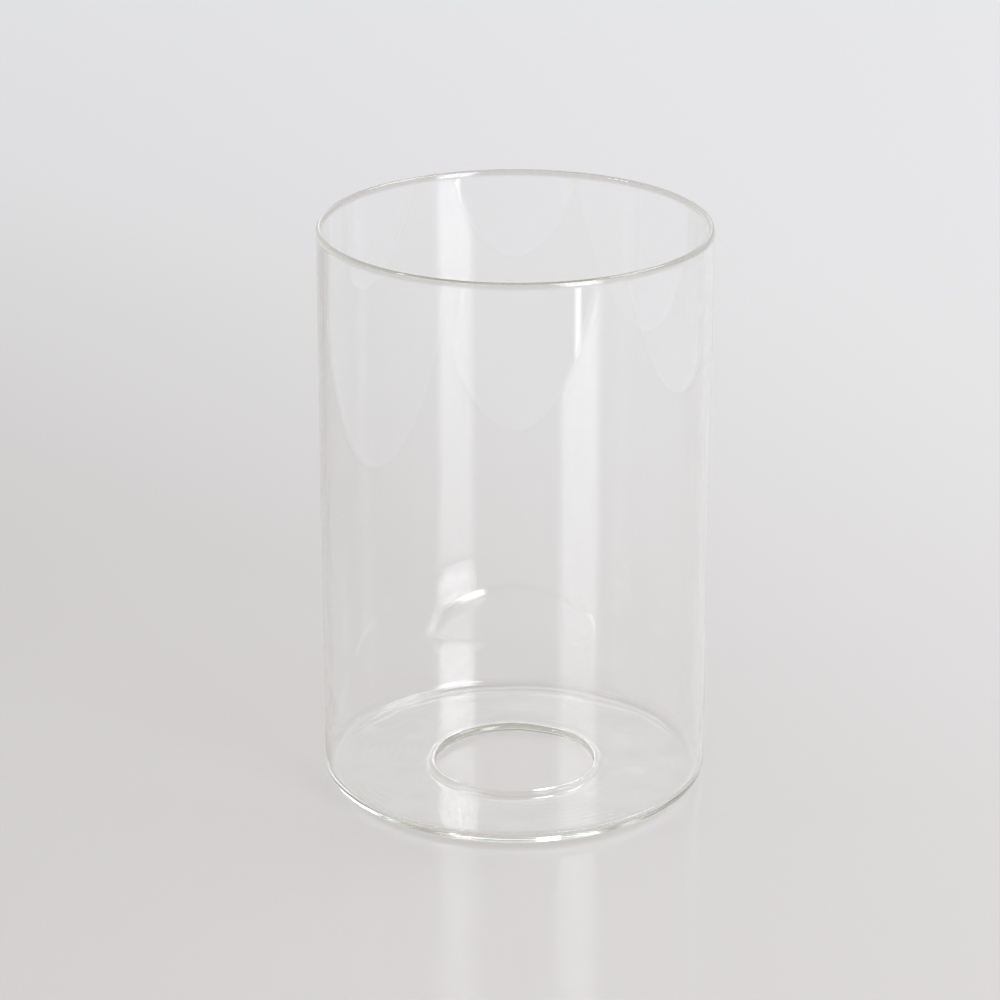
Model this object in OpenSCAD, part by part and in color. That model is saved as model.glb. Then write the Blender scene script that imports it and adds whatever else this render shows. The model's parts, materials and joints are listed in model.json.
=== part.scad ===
// Clear glass cylinder, open at the top, with its foot turned in to a flat base that has one round hole.
// It is lathe-worked from one length of tube: the wall is the tube itself, and the base is the tube's end,
// rolled inwards while hot. The model is cut across the wall just above the heel, into those two shapes.
// Millimetres, +Z up. The origin is at the centre of the foot, on the surface that the glass stands on.

/* [Tube] */
// Outside diameter of the tube
outer_d = 100; // [90:0.5:200]
// Height from the foot to the top of the rim
height = 149; // [60:0.5:300]
// Thickness of the tube's wall
wall_t = 1.8; // [1.2:0.1:3]

/* [Base] */
// Thickness of the turned-in base
base_t = 2.3; // [1.4:0.1:3]
// Radius of the heel, where the outside of the wall rolls into the foot
heel_r = 3.9; // [1.4:0.1:4]
// Radius inside the corner between the wall and the base
corner_r = 2; // [0.6:0.1:5]

/* [Hole] */
// Diameter of the hole in the base
hole_d = 41; // [28:0.5:54]
// Thickness of the lip around the hole
lip_t = 2.5; // [2.2:0.1:4]
// Radius of the lip's two edges at the hole
lip_edge_r = 0.9; // [0.3:0.1:0.9]
// Radius where the lip runs out into the top of the base
lip_blend_r = 3; // [0.4:0.1:3]

/* [Hidden] */
outer_r = outer_d / 2;
inner_r = outer_r - wall_t;
hole_r = hole_d / 2;
rim_r = wall_t / 2;

// Height at which the wall is straight on both sides, where the two shapes meet
joint_z = max(heel_r, base_t + corner_r);

// The lip is a rounded bar: a straight land at the hole, and a half round where it meets the base
lip_round_r = lip_t / 2;
lip_round_x = hole_r + lip_round_r;

// The blend is an arc that touches the lip's half round and the top of the base
lip_rise = max(0, lip_t - base_t);
blend_run = sqrt(lip_rise * (2 * lip_blend_r + base_t));
blend_x = lip_round_x + blend_run;
blend_z = base_t + lip_blend_r;
blend_lean = lip_round_r / (lip_round_r + lip_blend_r);
touch_x = lip_round_x + blend_run * blend_lean;
touch_z = lip_round_r + (blend_z - lip_round_r) * blend_lean;

glass_tint = [0.82, 0.88, 0.83, 0.35];
$fn = 192;

// Section of the wall: straight sides, and a rim melted to a full round
module wall_section() {
    translate([inner_r, joint_z])
        square([wall_t, height - rim_r - joint_z]);
    translate([inner_r + rim_r, height - rim_r])
        circle(r = rim_r);
}

// The space inside the glass, above the base, with a round corner where it meets the wall
module inside_section() {
    translate([0, base_t])
        square([inner_r - corner_r, height]);
    translate([0, base_t + corner_r])
        square([inner_r, height]);
    translate([inner_r - corner_r, base_t + corner_r])
        circle(r = corner_r);
}

// What the round heel leaves out of a square corner, with a margin beyond the glass
module heel_relief_section() {
    margin = 1;
    difference() {
        translate([outer_r - heel_r, -margin])
            square([heel_r + margin, heel_r + margin]);
        translate([outer_r - heel_r, heel_r])
            circle(r = heel_r);
    }
}

// Section of the base and the heel, from behind the lip out to the wall
module floor_section() {
    difference() {
        translate([lip_round_x, 0])
            square([outer_r - lip_round_x, joint_z]);
        inside_section();
        heel_relief_section();
    }
}

// Section of the lip: rounded edges and a straight land at the hole, half round behind
module lip_section() {
    translate([hole_r, lip_edge_r])
        square([lip_edge_r, lip_t - 2 * lip_edge_r]);
    for (edge_z = [lip_edge_r, lip_t - lip_edge_r])
        translate([hole_r + lip_edge_r, edge_z])
            circle(r = lip_edge_r);
    translate([hole_r + lip_edge_r, 0])
        square([lip_round_r - lip_edge_r, lip_t]);
    translate([lip_round_x, lip_round_r])
        circle(r = lip_round_r);
}

// Section of the hollow blend between the lip and the base
module blend_section() {
    difference() {
        polygon([
            [lip_round_x, 0],
            [blend_x, 0],
            [blend_x, base_t],
            [touch_x, touch_z],
            [lip_round_x, lip_round_r]
        ]);
        translate([blend_x, blend_z])
            circle(r = lip_blend_r);
    }
}

// The straight tube, down to the top of the heel
module wall_tube() {
    color(glass_tint)
        rotate_extrude()
            wall_section();
}

// The turned-in end: heel, flat base and the lip of the hole
module base_ring() {
    color(glass_tint)
        rotate_extrude() {
            floor_section();
            lip_section();
            if (lip_rise > 0)
                blend_section();
        }
}

wall_tube();
base_ring();
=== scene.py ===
# %% [markdown]
# # A clear glass cylinder with a turned-in base
# The real object is one piece of glass. A glassworker turns a length of clear tube on a lathe, melts the
# mouth's edge until it rounds itself, then softens the other end, rolls it inwards to a flat base and opens
# a hole in the middle. This lesson spins the same cross-section round an axis, as the lathe does, and then
# gives the glass the faint unevenness that handwork leaves. Clear glass shows little of itself: what is
# seen is light that it bends and mirrors, so the set around it matters as much as the glass.

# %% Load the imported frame
import json
import math

import bmesh
import bpy
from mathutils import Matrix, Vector

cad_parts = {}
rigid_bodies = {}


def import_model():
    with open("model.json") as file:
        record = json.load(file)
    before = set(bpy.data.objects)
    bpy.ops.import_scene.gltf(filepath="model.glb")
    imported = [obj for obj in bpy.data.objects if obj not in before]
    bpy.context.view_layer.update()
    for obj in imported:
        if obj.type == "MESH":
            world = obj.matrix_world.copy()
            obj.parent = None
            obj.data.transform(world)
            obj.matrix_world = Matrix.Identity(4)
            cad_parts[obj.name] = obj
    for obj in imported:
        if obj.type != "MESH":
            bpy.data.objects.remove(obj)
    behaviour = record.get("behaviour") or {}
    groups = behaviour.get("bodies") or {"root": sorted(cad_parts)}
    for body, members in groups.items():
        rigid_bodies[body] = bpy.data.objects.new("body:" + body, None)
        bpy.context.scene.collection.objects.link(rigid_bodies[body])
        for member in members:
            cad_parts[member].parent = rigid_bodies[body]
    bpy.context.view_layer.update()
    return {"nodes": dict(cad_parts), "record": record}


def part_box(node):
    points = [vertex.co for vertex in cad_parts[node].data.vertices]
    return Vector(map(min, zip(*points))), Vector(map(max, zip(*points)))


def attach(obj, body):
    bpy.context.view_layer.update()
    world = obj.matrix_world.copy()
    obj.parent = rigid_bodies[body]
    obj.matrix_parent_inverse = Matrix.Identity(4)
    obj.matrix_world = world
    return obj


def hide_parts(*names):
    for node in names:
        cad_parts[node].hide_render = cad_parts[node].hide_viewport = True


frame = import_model()
record = frame["record"]
MM = 0.001
print("packed nodes:", sorted(frame["nodes"]))

# %% [markdown]
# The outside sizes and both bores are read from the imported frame, so that the glass fits its collision
# model. The smaller radii aren't in the frame. They are the sizes that the glassworker's tools give. The
# flame leaves the edge of the hole almost fully round, and the rim a little taller than a half circle.

# %% Sizes of the glass
tube_low, tube_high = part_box("wall_tube")
bores = {m["name"]: m["dims"] for m in record["mounts"] if m["kind"] == "bore"}
OUTER_R = round((tube_high.x - tube_low.x) / 2, 5)
HEIGHT = tube_high.z
INNER_R = bores["mouth"]["r_mm"] * MM
HOLE_R = bores["base_hole"]["r_mm"] * MM
BASE_T = 2.3 * MM
HEEL_R = 3.9 * MM
CORNER_R = 2.0 * MM
LIP_T = 2.5 * MM
LIP_BLEND_R = 3.0 * MM
WALL_T = OUTER_R - INNER_R
LIP_FLAT = 0.1 * MM
LIP_EDGE_R = (LIP_T - LIP_FLAT) / 2
RIM_RISE = 1.9 * MM
print(f"outside {2 * OUTER_R / MM:.1f} mm, height {HEIGHT / MM:.1f} mm, wall {WALL_T / MM:.2f} mm")

# %% [markdown]
# The cross-section is one closed outline of straight stretches and arcs, drawn on one side of the axis.
# Each stretch gets as many points as it needs: many on the worked parts and few on the plain wall. Close to
# an arc a straight stretch gets a short extra step, so that smooth shading doesn't bend the long faces
# beside it.


# %% Draw the section
def straight(start, end, steps):
    """Points from start up to, and not including, end."""
    return [Vector(start).lerp(Vector(end), i / steps) for i in range(steps)]


def arc(centre, radius, turn_from, turn_to, steps):
    """Points on an arc, in degrees, up to and not including its end."""
    turns = [math.radians(turn_from + (turn_to - turn_from) * i / steps) for i in range(steps)]
    return [Vector((centre[0] + radius * math.cos(t), centre[1] + radius * math.sin(t))) for t in turns]


NEAR = 0.25 * MM
WORKED_Z = 0.4 * HEIGHT
WORKED_STEPS, PLAIN_STEPS = 40, 24
BASE_STEPS, FOOT_STEPS = 90, 40


def outside_and_rim():
    """The heel, the outside of the wall and the rim, in (radius, height)."""
    rim_r = WALL_T / 2
    rim_z = HEIGHT - RIM_RISE
    points = arc((OUTER_R - HEEL_R, HEEL_R), HEEL_R, -90, 0, 12)
    points += straight((OUTER_R, HEEL_R), (OUTER_R, HEEL_R + NEAR), 1)
    points += straight((OUTER_R, HEEL_R + NEAR), (OUTER_R, WORKED_Z), WORKED_STEPS)
    points += straight((OUTER_R, WORKED_Z), (OUTER_R, rim_z - NEAR), PLAIN_STEPS)
    points += straight((OUTER_R, rim_z - NEAR), (OUTER_R, rim_z), 1)
    for p in arc((0, 0), rim_r, 0, 180, 24):
        points.append(Vector((INNER_R + rim_r + p.x, rim_z + p.y * RIM_RISE / rim_r)))
    points += straight((INNER_R, rim_z), (INNER_R, rim_z - NEAR), 1)
    return points + straight((INNER_R, rim_z - NEAR), (INNER_R, WORKED_Z), PLAIN_STEPS)


def inside_and_lip():
    """The inside of the lower wall, the corner, the top of the base and the lip of the hole."""
    corner = (INNER_R - CORNER_R, BASE_T + CORNER_R)
    lip_r = LIP_T / 2
    lip = (HOLE_R + lip_r, lip_r)
    edge_x = HOLE_R + LIP_EDGE_R
    run = math.sqrt((LIP_T - BASE_T) * (2 * LIP_BLEND_R + BASE_T))
    blend = (lip[0] + run, BASE_T + LIP_BLEND_R)
    lean = math.degrees(math.atan2(blend[1] - lip[1], run))
    points = straight((INNER_R, WORKED_Z), (INNER_R, corner[1] + NEAR), WORKED_STEPS)
    points += straight((INNER_R, corner[1] + NEAR), (INNER_R, corner[1]), 1)
    points += arc(corner, CORNER_R, 0, -90, 8)
    points += straight((corner[0], BASE_T), (blend[0], BASE_T), BASE_STEPS)
    points += arc(blend, LIP_BLEND_R, 270, 180 + lean, 5)
    points += arc(lip, lip_r, lean, 90, 6)
    points += straight((lip[0], LIP_T), (edge_x, LIP_T), 2)
    points += arc((edge_x, LIP_T - LIP_EDGE_R), LIP_EDGE_R, 90, 180, 7)
    points += straight((HOLE_R, LIP_T - LIP_EDGE_R), (HOLE_R, LIP_EDGE_R), 3)
    return points + arc((edge_x, LIP_EDGE_R), LIP_EDGE_R, 180, 270, 7)


foot = straight((HOLE_R + LIP_EDGE_R, 0), (OUTER_R - HEEL_R, 0), FOOT_STEPS)
section = foot + outside_and_rim() + inside_and_lip()
print(len(section), "points in the section")

# %% [markdown]
# A lathe is a rule, so Geometry Nodes can be the lathe: the section is swept round a circle, and the same
# tree then moves the surface a little, always into the glass. Trees are long to wire by hand, so a small
# helper makes each node, sets its values and links what is a socket.


# %% Make a helper for node trees
class Tree:
    """A node tree with named inputs, and short ways to add nodes and links."""

    def __init__(self, name):
        self.group = bpy.data.node_groups.new(name, "GeometryNodeTree")
        self.ids = {}
        self.inputs = self.group.nodes.new("NodeGroupInput")
        self.result = self.group.nodes.new("NodeGroupOutput")

    def add_input(self, name, kind, value=None):
        made = self.group.interface.new_socket(name, in_out="INPUT", socket_type=kind)
        if value is not None:
            made.default_value = value
        self.ids[name] = made.identifier

    def add_output(self, name, kind):
        self.group.interface.new_socket(name, in_out="OUTPUT", socket_type=kind)

    def value(self, name):
        return self.inputs.outputs[name]

    def node(self, kind, settings=None, **sockets):
        made = self.group.nodes.new(kind)
        for key, val in (settings or {}).items():
            setattr(made, key, val)
        for key, val in sockets.items():
            self.feed(made.inputs[key.replace("_", " ")], val)
        return made

    def feed(self, socket, source):
        if isinstance(source, bpy.types.NodeSocket):
            self.group.links.new(source, socket)
        else:
            socket.default_value = source

    def math(self, operation, *values):
        made = self.group.nodes.new("ShaderNodeMath")
        made.operation = operation
        for socket, source in zip(made.inputs, values):
            self.feed(socket, source)
        return made.outputs[0]

    def product(self, first, *others):
        for other in others:
            first = self.math("MULTIPLY", first, other)
        return first

    def fade(self, value, start, end):
        """1 at start, falling smoothly to 0 at end."""
        made = self.node("ShaderNodeMapRange", {"interpolation_type": "SMOOTHSTEP"}, Value=value)
        limits = {"From Min": start, "From Max": end, "To Min": 1.0, "To Max": 0.0}
        for key, source in limits.items():
            self.feed(made.inputs[key], source)
        return made.outputs["Result"]

    def rise(self, value, start, end):
        """0 at start, rising smoothly to 1 at end."""
        return self.math("SUBTRACT", 1.0, self.fade(value, start, end))

    def noise(self, place, seed_step, scale, detail, roughness):
        """A soft random pattern. Each use has its own step from the seed."""
        made = self.node(
            "ShaderNodeTexNoise", {"noise_dimensions": "4D"}, Vector=place, Scale=scale, Detail=detail,
            Roughness=roughness, W=self.math("ADD", self.value("Seed"), seed_step),
        )
        return made.outputs[0]


print("helper ready: Tree")

# %% [markdown]
# Three marks of the work are added. The drawn tube has faint lines along its length. The heel and the lower
# wall, which were soft in the flame, are gently wavy. The base has turning rings in patches, where a flat
# tool pressed it. Each mark is a pattern from 0 to 1, times a mask for its place, times a depth.

# %% Describe the marks of the work
LINE_SCALE, LINE_STRETCH = 220.0, 0.02
WAVE_SCALE, WAVE_SEED = 75.0, 7.0
PATCH_SCALE, PATCH_SEED = 38.0, 19.0
PATCH_START, PATCH_FULL = 0.42, 0.62
CORNER_FADE = 1.5 * MM
LIP_FADE = 6 * MM
RIM_FADE = 20 * MM
RIM_SHARE = 0.3
RING_WOBBLE = 5.0
BASE_NEAR, BASE_FAR = 1.05, 1.3


def tube_lines(t, x, y, z, radius):
    """Lines of the drawn tube: the pattern hardly changes with height."""
    along = t.node("ShaderNodeCombineXYZ", X=x, Y=y, Z=t.math("MULTIPLY", z, LINE_STRETCH)).outputs[0]
    corner = t.value("Inside corner")
    on_wall = t.rise(radius, corner, t.math("ADD", corner, CORNER_FADE))
    lines = t.noise(along, 0.0, LINE_SCALE, detail=2.0, roughness=0.5)
    return t.product(lines, on_wall, t.value("Draw line depth"))


def soft_waves(t, waves, z, clear_of_hole):
    """Waves where the glass was soft: the heel and the lower wall, and weaker below the rim."""
    low = t.fade(z, t.value("Base thickness"), t.value("Heel wave height"))
    top = t.fade(z, t.value("Height"), t.math("SUBTRACT", t.value("Height"), RIM_FADE))
    zone = t.math("MAXIMUM", low, t.math("MULTIPLY", top, RIM_SHARE))
    return t.product(waves, zone, t.value("Heel wave depth"), clear_of_hole)


def turning_rings(t, waves, where, radius, z, clear_of_hole):
    """Rings on the top of the base, a little wobbly, in patches."""
    turns = t.math("DIVIDE", t.math("MULTIPLY", radius, 2 * math.pi), t.value("Ring pitch"))
    phase = t.math("ADD", turns, t.math("MULTIPLY", waves, RING_WOBBLE))
    rings = t.math("MULTIPLY", t.math("ADD", t.math("SINE", phase), 1.0), 0.5)
    top = t.value("Base thickness")
    on_base = t.fade(z, t.math("MULTIPLY", top, BASE_NEAR), t.math("MULTIPLY", top, BASE_FAR))
    patches = t.noise(where, PATCH_SEED, PATCH_SCALE, detail=1.0, roughness=0.5)
    patches = t.rise(patches, PATCH_START, PATCH_FULL)
    return t.product(rings, on_base, t.value("Ring depth"), patches, clear_of_hole)


print(f"marks: lines, waves and rings; the lip is kept clear for {LIP_FADE / MM:.0f} mm")

# %% [markdown]
# The tree itself is short now. It ends with Realize Instances and Set Material, so that the result is one
# plain mesh with its finish on it.


# %% Build the lathe in Geometry Nodes
def lathe_tree():
    t = Tree("glass lathe")
    t.add_input("Section", "NodeSocketGeometry")
    t.add_input("Spin radius", "NodeSocketFloat", 0.03)
    t.add_input("Steps round", "NodeSocketInt", 256)
    t.add_input("Hole radius", "NodeSocketFloat", 0.02)
    t.add_input("Inside corner", "NodeSocketFloat", 0.046)
    t.add_input("Base thickness", "NodeSocketFloat", 0.002)
    t.add_input("Height", "NodeSocketFloat", 0.15)
    t.add_input("Draw line depth", "NodeSocketFloat", 0.00002)
    t.add_input("Heel wave depth", "NodeSocketFloat", 0.0001)
    t.add_input("Heel wave height", "NodeSocketFloat", 0.06)
    t.add_input("Ring depth", "NodeSocketFloat", 0.00001)
    t.add_input("Ring pitch", "NodeSocketFloat", 0.002)
    t.add_input("Seed", "NodeSocketFloat", 3.0)
    t.add_input("Material", "NodeSocketMaterial")
    t.add_output("Geometry", "NodeSocketGeometry")

    curve = t.node("GeometryNodeMeshToCurve", Mesh=t.value("Section")).outputs["Curve"]
    circle = t.node(
        "GeometryNodeCurvePrimitiveCircle", Resolution=t.value("Steps round"), Radius=t.value("Spin radius")
    ).outputs["Curve"]
    spun = t.node("GeometryNodeCurveToMesh", Curve=circle, Profile_Curve=curve).outputs[0]
    spun = t.node("GeometryNodeFlipFaces", Mesh=spun).outputs[0]

    where = t.node("GeometryNodeInputPosition").outputs[0]
    normal = t.node("GeometryNodeInputNormal").outputs[0]
    x, y, z = t.node("ShaderNodeSeparateXYZ", Vector=where).outputs
    flat = t.node("ShaderNodeCombineXYZ", X=x, Y=y).outputs[0]
    radius = t.node("ShaderNodeVectorMath", {"operation": "LENGTH"}, Vector=flat).outputs["Value"]
    hole = t.value("Hole radius")
    clear_of_hole = t.rise(radius, hole, t.math("ADD", hole, LIP_FADE))
    waves = t.noise(where, WAVE_SEED, WAVE_SCALE, detail=1.0, roughness=0.4)

    move = t.math("ADD", tube_lines(t, x, y, z, radius), soft_waves(t, waves, z, clear_of_hole))
    move = t.math("ADD", move, turning_rings(t, waves, where, radius, z, clear_of_hole))
    inward = t.math("MULTIPLY", move, -1.0)
    offset = t.node("ShaderNodeVectorMath", {"operation": "SCALE"}, Vector=normal, Scale=inward).outputs[0]
    placed = t.node("GeometryNodeSetPosition", Geometry=spun, Offset=offset).outputs[0]
    smooth = t.node("GeometryNodeSetShadeSmooth", Geometry=placed).outputs[0]
    real = t.node("GeometryNodeRealizeInstances", Geometry=smooth).outputs[0]
    shown = t.node("GeometryNodeSetMaterial", Geometry=real, Material=t.value("Material")).outputs[0]
    t.feed(t.result.inputs["Geometry"], shown)
    return t


lathe = lathe_tree()
print("lathe inputs:", list(lathe.ids))

# %% [markdown]
# Shader trees want the same kind of help. This one also knows a few patterns: a place on the object, a
# smooth rise between two values, a blend of two colours and a noise.


# %% Make a helper for shader trees
class Shades:
    """Short ways to add nodes and links to a shader tree."""

    def __init__(self, tree):
        self.nodes, self.links = tree.nodes, tree.links

    def feed(self, socket, source):
        if isinstance(source, bpy.types.NodeSocket):
            self.links.new(source, socket)
        else:
            socket.default_value = source

    def place(self, axis=None):
        """Object coordinates, or one of them."""
        where = self.nodes.new("ShaderNodeTexCoord").outputs["Object"]
        if axis is None:
            return where
        parts = self.nodes.new("ShaderNodeSeparateXYZ")
        self.links.new(where, parts.inputs[0])
        return parts.outputs[axis]

    def calc(self, operation, *values):
        made = self.nodes.new("ShaderNodeMath")
        made.operation = operation
        for socket, value in zip(made.inputs, values):
            self.feed(socket, value)
        return made.outputs[0]

    def rise(self, value, start, end):
        """0 at start, rising smoothly to 1 at end."""
        made = self.nodes.new("ShaderNodeMapRange")
        made.interpolation_type = "SMOOTHSTEP"
        self.feed(made.inputs["Value"], value)
        self.feed(made.inputs["From Min"], start)
        self.feed(made.inputs["From Max"], end)
        return made.outputs["Result"]

    def blend(self, factor, first, second):
        """A colour between two colours."""
        made = self.nodes.new("ShaderNodeMix")
        made.data_type = "RGBA"
        for name, value in (("Factor", factor), ("A", first), ("B", second)):
            self.feed(made.inputs[name], value)
        return made.outputs["Result"]

    def noise(self, scale, detail):
        made = self.nodes.new("ShaderNodeTexNoise")
        made.inputs["Scale"].default_value = scale
        made.inputs["Detail"].default_value = detail
        self.links.new(self.place(), made.inputs["Vector"])
        return made.outputs[0]


print("helper ready: Shades")

# %% [markdown]
# Even a clean glass has a few specks of dust, and very fine marks of handling. The specks are cells of a
# Voronoi pattern: only some cells are picked, and only the centre of each is a speck. They change the
# colour and the roughness. The marks are a fine bump. All of it is one node group, so that it can be
# reused.

# %% Make the pattern of a handled surface
CLEAN = (1, 1, 1, 1)
DUSTY = (0.55, 0.53, 0.5, 1)
SPECK_SCALE, SPECK_PICK, SPECK_SIZE = 90, 0.93, 0.012
SPECK_ROUGHNESS = 0.6
MARK_SCALE, MARK_DETAIL = 260, 3
MARK_RISE, MARK_STRENGTH = 0.02 * MM, 0.1


def surface_group():
    """Dust and fine marks of handling: values that change over the surface."""
    group = bpy.data.node_groups.new("handled glass", "ShaderNodeTree")
    for name, default in (("Dust", 0.5), ("Mark depth", 0.1)):
        made = group.interface.new_socket(name, in_out="INPUT", socket_type="NodeSocketFloat")
        made.default_value = default
    group.interface.new_socket("Color", in_out="OUTPUT", socket_type="NodeSocketColor")
    group.interface.new_socket("Roughness", in_out="OUTPUT", socket_type="NodeSocketFloat")
    group.interface.new_socket("Height", in_out="OUTPUT", socket_type="NodeSocketFloat")
    t = Shades(group)
    source, sink = t.nodes.new("NodeGroupInput"), t.nodes.new("NodeGroupOutput")

    specks = t.nodes.new("ShaderNodeTexVoronoi")
    specks.inputs["Scale"].default_value = SPECK_SCALE
    t.links.new(t.place(), specks.inputs["Vector"])
    pick = t.calc("GREATER_THAN", specks.outputs["Color"], SPECK_PICK)
    speck = t.calc("MULTIPLY", t.calc("LESS_THAN", specks.outputs["Distance"], SPECK_SIZE), pick)
    speck = t.calc("MULTIPLY", speck, source.outputs["Dust"])
    marks = t.calc("MULTIPLY", t.noise(MARK_SCALE, MARK_DETAIL), source.outputs["Mark depth"])

    t.links.new(t.blend(speck, CLEAN, DUSTY), sink.inputs["Color"])
    t.links.new(t.calc("MULTIPLY", speck, SPECK_ROUGHNESS), sink.inputs["Roughness"])
    t.links.new(marks, sink.inputs["Height"])
    return group


print("specks about", round(SPECK_SIZE / SPECK_SCALE / MM, 2), "mm in radius")

# %% [markdown]
# The glass is a clear borosilicate. It has no colour through the thin wall, and a faint yellow-green where
# light travels a long way inside, at the rim and the lip. Volume Absorption does that, because it takes
# colour off by distance. A path tracer is poor at light that a clear glass lets through to a table, so
# shadow rays and scattered rays pass straight on, and only grazing ones are held back, which leaves a soft
# contact shadow. Rays that are mirrored inside the glass too many times are let out in the same way, with a
# faint tint.

# %% Make the glass finish
GLASS_IOR = 1.474
DEEP_GLASS, DEEP_DENSITY = (0.90, 0.93, 0.80, 1), 8
PASSED = (0.995, 0.995, 0.993, 1)
BLOCKED = (0.25, 0.235, 0.22, 1)
GRAZING_POWER = 9.0
TRAPPED_LOW = (0.93, 0.935, 0.915, 1)
TRAPPED_HIGH = (0.97, 0.975, 0.96, 1)
TRAPPED_START, TRAPPED_END = 30 * MM, 120 * MM
MOST_MIRRORINGS = 3.5
MOST_TURNS = 9.5


def handled_surface(t, shader):
    """Wire the dust and the marks into the glass."""
    handled = t.nodes.new("ShaderNodeGroup")
    handled.node_tree = surface_group()
    handled.inputs["Dust"].default_value = 1.0
    bump = t.nodes.new("ShaderNodeBump")
    bump.inputs["Distance"].default_value = MARK_RISE
    bump.inputs["Strength"].default_value = MARK_STRENGTH
    t.links.new(handled.outputs["Color"], shader.inputs["Base Color"])
    t.links.new(handled.outputs["Roughness"], shader.inputs["Roughness"])
    t.links.new(handled.outputs["Height"], bump.inputs["Height"])
    t.links.new(bump.outputs["Normal"], shader.inputs["Normal"])


def clear_glass():
    made = bpy.data.materials.new("clear_glass")
    made.use_nodes = True
    t = Shades(made.node_tree)
    shader, sink = t.nodes["Principled BSDF"], t.nodes["Material Output"]
    shader.inputs["IOR"].default_value = GLASS_IOR
    shader.inputs["Transmission Weight"].default_value = 1.0
    handled_surface(t, shader)

    path = t.nodes.new("ShaderNodeLightPath")
    trapped = t.calc("GREATER_THAN", path.outputs["Glossy Depth"], MOST_MIRRORINGS)
    trapped = t.calc("MAXIMUM", trapped, t.calc("GREATER_THAN", path.outputs["Ray Depth"], MOST_TURNS))
    through = t.calc("MAXIMUM", path.outputs["Is Shadow Ray"], path.outputs["Is Diffuse Ray"])
    through = t.calc("MAXIMUM", through, trapped)

    edge = t.nodes.new("ShaderNodeLayerWeight")
    edge.inputs["Blend"].default_value = 0.5
    grazing = t.calc("POWER", edge.outputs["Facing"], GRAZING_POWER)
    at_edge = t.calc("MULTIPLY", grazing, t.calc("SUBTRACT", 1.0, trapped))
    inner = t.blend(t.rise(t.place("Z"), TRAPPED_START, TRAPPED_END), TRAPPED_LOW, TRAPPED_HIGH)
    clear = t.nodes.new("ShaderNodeBsdfTransparent")
    t.links.new(t.blend(at_edge, t.blend(trapped, PASSED, inner), BLOCKED), clear.inputs["Color"])
    either = t.nodes.new("ShaderNodeMixShader")
    t.links.new(through, either.inputs[0])
    t.links.new(shader.outputs[0], either.inputs[1])
    t.links.new(clear.outputs[0], either.inputs[2])
    t.links.new(either.outputs[0], sink.inputs["Surface"])

    depth = t.nodes.new("ShaderNodeVolumeAbsorption")
    depth.inputs["Color"].default_value = DEEP_GLASS
    depth.inputs["Density"].default_value = DEEP_DENSITY
    t.links.new(depth.outputs[0], sink.inputs["Volume"])
    return made


glass_finish = clear_glass()
print("finish:", glass_finish.name)


# %% [markdown]
# Now the lathe runs. Its inputs are set by their identifiers before the first evaluation, and then the
# result is kept as a plain mesh. The mesh is closed, and its faces look outwards, because the finish counts
# on knowing what is inside the glass.


# %% Spin the glass
SPIN_R = (HOLE_R + OUTER_R) / 2
LATHE_SIZES = {
    "Spin radius": SPIN_R,
    "Steps round": 256,
    "Hole radius": HOLE_R,
    "Inside corner": INNER_R - CORNER_R,
    "Base thickness": BASE_T,
    "Height": HEIGHT,
    "Draw line depth": 0.03 * MM,
    "Heel wave depth": 0.15 * MM,
    "Heel wave height": 60 * MM,
    "Ring depth": 0.014 * MM,
    "Ring pitch": 2.2 * MM,
    "Seed": 3.0,
    "Material": glass_finish,
}


def spin_glass():
    outline = bpy.data.meshes.new("glass_cylinder")
    corners = [(p.x - SPIN_R, -p.y, 0) for p in section]
    edges = [(i, (i + 1) % len(section)) for i in range(len(section))]
    outline.from_pydata(corners, edges, [])
    piece = bpy.data.objects.new("glass_cylinder", outline)
    bpy.context.scene.collection.objects.link(piece)
    work = piece.modifiers.new("lathe", "NODES")
    work.node_group = lathe.group
    for name, value in LATHE_SIZES.items():
        work[lathe.ids[name]] = value
    graph = bpy.context.evaluated_depsgraph_get()
    solid = bpy.data.meshes.new_from_object(piece.evaluated_get(graph))
    piece.modifiers.remove(work)
    piece.data = solid
    return piece


def face_outwards(piece):
    """Turn every face outwards, and give the volume in cm3 and the number of open edges."""
    form = bmesh.new()
    form.from_mesh(piece.data)
    bmesh.ops.recalc_face_normals(form, faces=form.faces)
    volume = form.calc_volume(signed=True)
    if volume < 0:
        bmesh.ops.reverse_faces(form, faces=form.faces)
    open_edges = sum(not edge.is_manifold for edge in form.edges)
    form.to_mesh(piece.data)
    form.free()
    return abs(volume) / (10 * MM) ** 3, open_edges


glass = spin_glass()
glass_cm3, glass_open = face_outwards(glass)
print(f"glass: {len(glass.data.polygons)} faces, {glass_cm3:.1f} cm3, {glass_open} open edges")
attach(glass, "root")
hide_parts("wall_tube", "base_ring")

# %% [markdown]
# The glass stands on a satin white table top. A glass wall mirrors what lies below the horizon, so the
# table's outline matters: its edges, and the paler floor beyond them, are the soft tongues seen in the
# wall. The table and the side board drift slowly between two close tones, as painted boards do. The floor
# has painted shade instead: it is darker in the middle, under the table, and paler away from it.
# The side board and the floor also glow faintly, in place of the daylight that would reach them from
# windows out of sight.

# %% Make the stage finishes
DAYLIGHT = (0.92, 0.97, 1.08, 1)
DRIFT_SCALE, DRIFT_DETAIL = 3, 2
FLOOR_DARK_TO, FLOOR_LIGHT_FROM = 0.9, 1.8


def stage_finish(name, dark, light, roughness, drift, glow=0.0):
    made = bpy.data.materials.new(name)
    made.use_nodes = True
    t = Shades(made.node_tree)
    shader = t.nodes["Principled BSDF"]
    shader.inputs["Roughness"].default_value = roughness
    shader.inputs["Emission Color"].default_value = DAYLIGHT
    shader.inputs["Emission Strength"].default_value = glow
    t.links.new(t.blend(drift(t), (*dark, 1), (*light, 1)), shader.inputs["Base Color"])
    return made


def slow_drift(t):
    return t.noise(DRIFT_SCALE, DRIFT_DETAIL)


# painted shade: the floor is darker in the middle, under the table, and paler away from the middle
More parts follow.
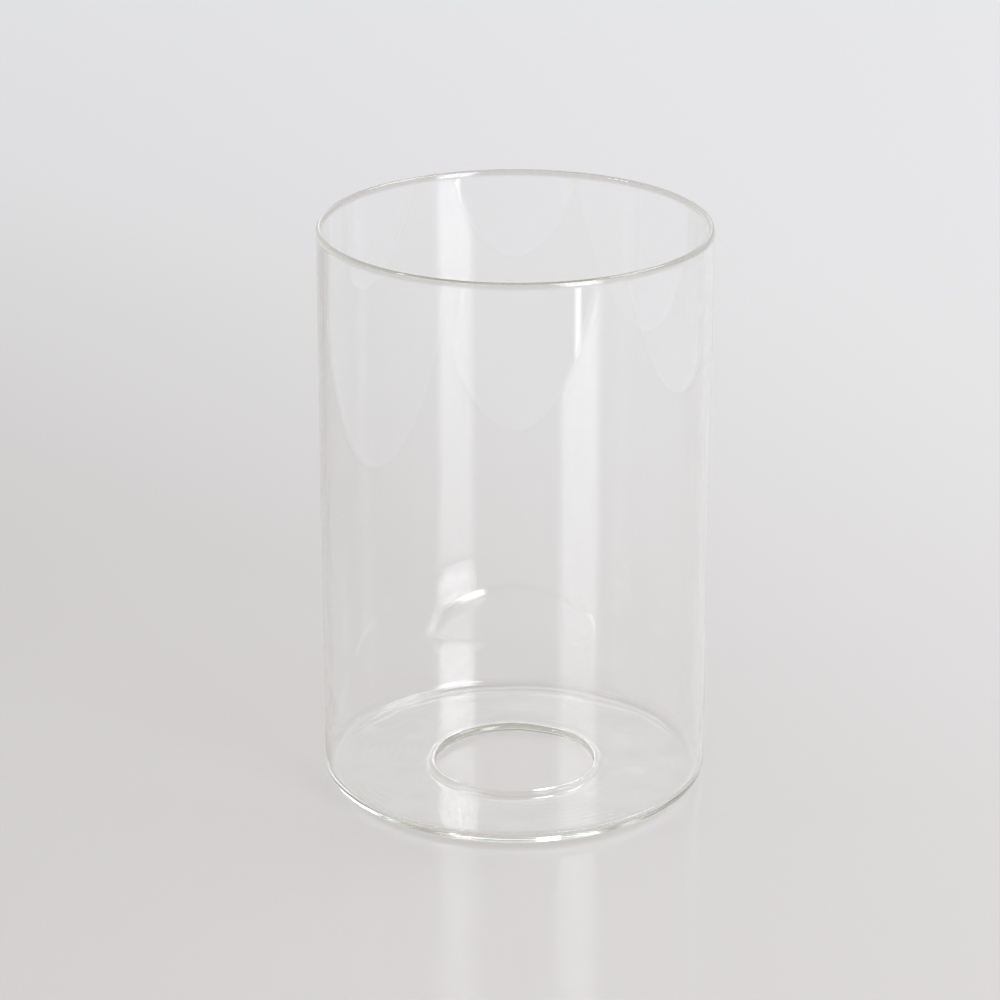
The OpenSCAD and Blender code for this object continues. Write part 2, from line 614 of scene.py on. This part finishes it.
def painted_shade_under_table(t):
    return t.rise(t.calc("ABSOLUTE", t.place("X")), FLOOR_DARK_TO, FLOOR_LIGHT_FROM)


satin_white = stage_finish("satin_white", (0.523, 0.503, 0.491), (0.527, 0.507, 0.495), 0.15, slow_drift)
side_white = stage_finish("side_white", (0.52, 0.51, 0.50), (0.54, 0.53, 0.52), 0.6, slow_drift, glow=0.15)
# the floor's tone is painted shade: darker under the table, paler beyond it
pale_floor = stage_finish(
    "pale_floor", (0.80, 0.79, 0.79), (0.88, 0.875, 0.875), 0.8, painted_shade_under_table, glow=0.25
)
print("stage finishes:", satin_white.name, side_white.name, pale_floor.name)

# %% [markdown]
# Each board is an outline seen from above, raised to its thickness, with its edges rounded. A hair of air
# is left between the table and the glass, so that the two surfaces don't fight for the same place.

# %% Set the table
AIR = 0.04 * MM
EDGE_R = 2 * MM
EDGE_STEPS = 4
TABLE_LOW = -0.02
SIDE_LOW, SIDE_HIGH = -0.05, -0.03
FLOOR_LOW, FLOOR_HIGH = -0.8, -0.78
TABLE_TOP = [
    (-0.295, -0.358), (0.508, -0.358), (0.29, 0.24), (0.65, 0.65),
    (0.65, 2.2), (-0.8, 2.2), (-0.8, 0.6), (-0.295, 0.3),
]
SIDE_TOP = [(-1.3, -0.9), (-0.3, -0.9), (-0.3, -0.03), (-1.3, -0.1)]
FLOOR = [(-6, -6), (6, -6), (6, 6), (-6, 6)]


def board(name, outline, low, high, material):
    """A flat board: an outline seen from above, between two heights."""
    form = bmesh.new()
    face = form.faces.new([form.verts.new((x, y, low)) for x, y in outline])
    raised = bmesh.ops.extrude_face_region(form, geom=[face])["geom"]
    for part in raised:
        if isinstance(part, bmesh.types.BMVert):
            part.co.z = high
    bmesh.ops.recalc_face_normals(form, faces=form.faces)
    bmesh.ops.bevel(
        form, geom=form.edges[:], offset=EDGE_R, segments=EDGE_STEPS, affect="EDGES", profile=0.5
    )
    mesh = bpy.data.meshes.new(name)
    form.to_mesh(mesh)
    form.free()
    mesh.materials.append(material)
    made = bpy.data.objects.new(name, mesh)
    bpy.context.scene.collection.objects.link(made)


board("table", TABLE_TOP, TABLE_LOW, -AIR, satin_white)
board("side_board", SIDE_TOP, SIDE_LOW, SIDE_HIGH, side_white)
board("floor", FLOOR, FLOOR_LOW, FLOOR_HIGH, pale_floor)
print("stage: table, side board and floor")

# %% [markdown]
# A tall window at the front right is the main light. The glare that it leaves on the satin table is
# mirrored in the wall as two long soft streaks, and a low pane carries them on upwards. Both fade towards
# their upright edges, so that the streaks have soft sides. The other lamps are the soft light of side
# windows.


# %% Hang the lights
def around(azimuth, distance, height):
    """A place round the glass. Azimuth is in degrees to the right of the viewer."""
    turn = math.radians(azimuth)
    return Vector((distance * math.sin(turn), -distance * math.cos(turn), height))


def lamp(name, place, aim, width, height, power, colour=(1, 1, 1)):
    data = bpy.data.lights.new(name, "AREA")
    data.shape = "RECTANGLE"
    data.size = width
    data.size_y = height
    data.energy = power
    data.color = colour
    made = bpy.data.objects.new(name, data)
    made.location = place
    made.rotation_euler = (Vector(aim) - place).to_track_quat("-Z", "Y").to_euler()
    bpy.context.scene.collection.objects.link(made)
    return made


def soften(light, edge):
    """Let a lamp fade towards its two upright edges, as a pane with a net curtain does."""
    light.data.use_nodes = True
    t = Shades(light.data.node_tree)
    across = t.nodes.new("ShaderNodeSeparateXYZ")
    t.links.new(t.nodes.new("ShaderNodeNewGeometry").outputs["Parametric"], across.inputs[0])
    left = t.rise(across.outputs["X"], 0.0, edge)
    right = t.calc("SUBTRACT", 1.0, t.rise(across.outputs["X"], 1.0 - edge, 1.0))
    t.links.new(t.calc("MULTIPLY", left, right), t.nodes["Emission"].inputs["Strength"])


FOOT = (0, 0, 0)
BODY = (0, 0, 0.1)
COOL = (0.98, 0.99, 1.03)
SKY = (0.95, 0.98, 1.0)
window = lamp("window", around(38, 2.0, 1.0), BODY, width=1.1, height=1.9, power=64, colour=COOL)
lower_pane = lamp("lower_pane", around(36, 2.0, -0.68), BODY, width=0.19, height=0.7, power=1.5)
soften(window, edge=0.25)
soften(lower_pane, edge=0.35)
lamp("side_sky", around(92, 1.5, 1.7), FOOT, width=1.4, height=1.1, power=30, colour=SKY)
lamp("left_sky", around(-75, 1.6, 1.5), FOOT, width=0.45, height=0.25, power=4)
print("lamps:", len(bpy.data.lights))

# %% [markdown]
# The rest of the room is a soft shell of light. Behind the glass, low down, it is bright and cool, because
# the table and the base mirror that part towards the camera. The brightness drops with height, which gives
# the table its slow fall from back to front. Only mirrored and scattered light meets this pattern. Seen
# straight on, or through the glass, the room is one calm tone, as a plain backdrop would be.

# %% Light the room
BACK_GLOW = (1.47, 1.52, 1.61, 1)
BASE_GLOW = (0.88, 0.87, 0.89, 1)
ROOM = (0.64, 0.625, 0.61, 1)
OVERHEAD = (0.36, 0.355, 0.36, 1)
GLOW_LEAN = 0.28
GLOW_TOP = (0.31, 0.41)
GLOW_FRONT = (0.5, 0.85)
GLOW_FOOT = (0.1, 0.18)
BAND_FOOT, BAND_TOP = (0.395, 0.425), (0.44, 0.47)
BAND_SIDE = (0.75, 0.85)
OVERHEAD_FOOT = (0.5, 0.62)
world = bpy.data.worlds.new("room")
world.use_nodes = True
room = Shades(world.node_tree)
look = room.nodes.new("ShaderNodeTexCoord")
parts = room.nodes.new("ShaderNodeSeparateXYZ")
room.links.new(look.outputs["Generated"], parts.inputs[0])
look_x, look_y, look_z = parts.outputs

# the bright, cool part: behind the glass, above the horizon, and higher on the right
leaning = room.calc("SUBTRACT", look_z, room.calc("MULTIPLY", look_x, GLOW_LEAN))
not_behind = room.calc("SUBTRACT", 1.0, room.rise(look_y, *GLOW_FRONT))
too_low = room.calc("SUBTRACT", 1.0, room.rise(look_z, *GLOW_FOOT))
calm = room.calc("MAXIMUM", room.rise(leaning, *GLOW_TOP), not_behind)
calm = room.calc("MAXIMUM", calm, too_low)
shell = room.blend(calm, BACK_GLOW, ROOM)

# a softer band just above it, which the base mirrors
band = room.calc("SUBTRACT", room.rise(look_z, *BAND_FOOT), room.rise(look_z, *BAND_TOP))
band = room.calc("MULTIPLY", band, room.rise(look_y, *BAND_SIDE))
shell = room.blend(band, shell, BASE_GLOW)
shell = room.blend(room.rise(look_z, *OVERHEAD_FOOT), shell, OVERHEAD)

# one calm tone for what is seen straight on, or through the glass
path = room.nodes.new("ShaderNodeLightPath")
turned = room.calc("ADD", path.outputs["Glossy Depth"], path.outputs["Diffuse Depth"])
shell = room.blend(room.calc("GREATER_THAN", turned, 0.5), ROOM, shell)
room.links.new(shell, room.nodes["Background"].inputs["Color"])
bpy.context.scene.world = world
bpy.context.scene.view_settings.view_transform = "Standard"
print("room:", world.name)

# %% [markdown]
# A long lens from well back keeps the glass's sides almost upright. The camera looks down at about 21
# degrees, so that both the mouth and the base are seen as open ellipses.

# %% Place the camera
LENS = 129.9
FILM = 36
LOOK_DOWN = 0.3686
ROLL = 0.0044
AWAY, ABOVE = 17.3287 * OUTER_R, 8.1891 * OUTER_R
camera_data = bpy.data.cameras.new("camera")
camera_data.lens = LENS
camera_data.sensor_width = FILM
camera_data.clip_start = 0.01
camera_data.clip_end = 50
camera = bpy.data.objects.new("camera", camera_data)
camera.location = (0, -AWAY, ABOVE)
camera.rotation_euler = (math.pi / 2 - LOOK_DOWN, 0, ROLL)
bpy.context.scene.collection.objects.link(camera)
bpy.context.scene.camera = camera
print("camera", [round(c, 3) for c in camera.location])
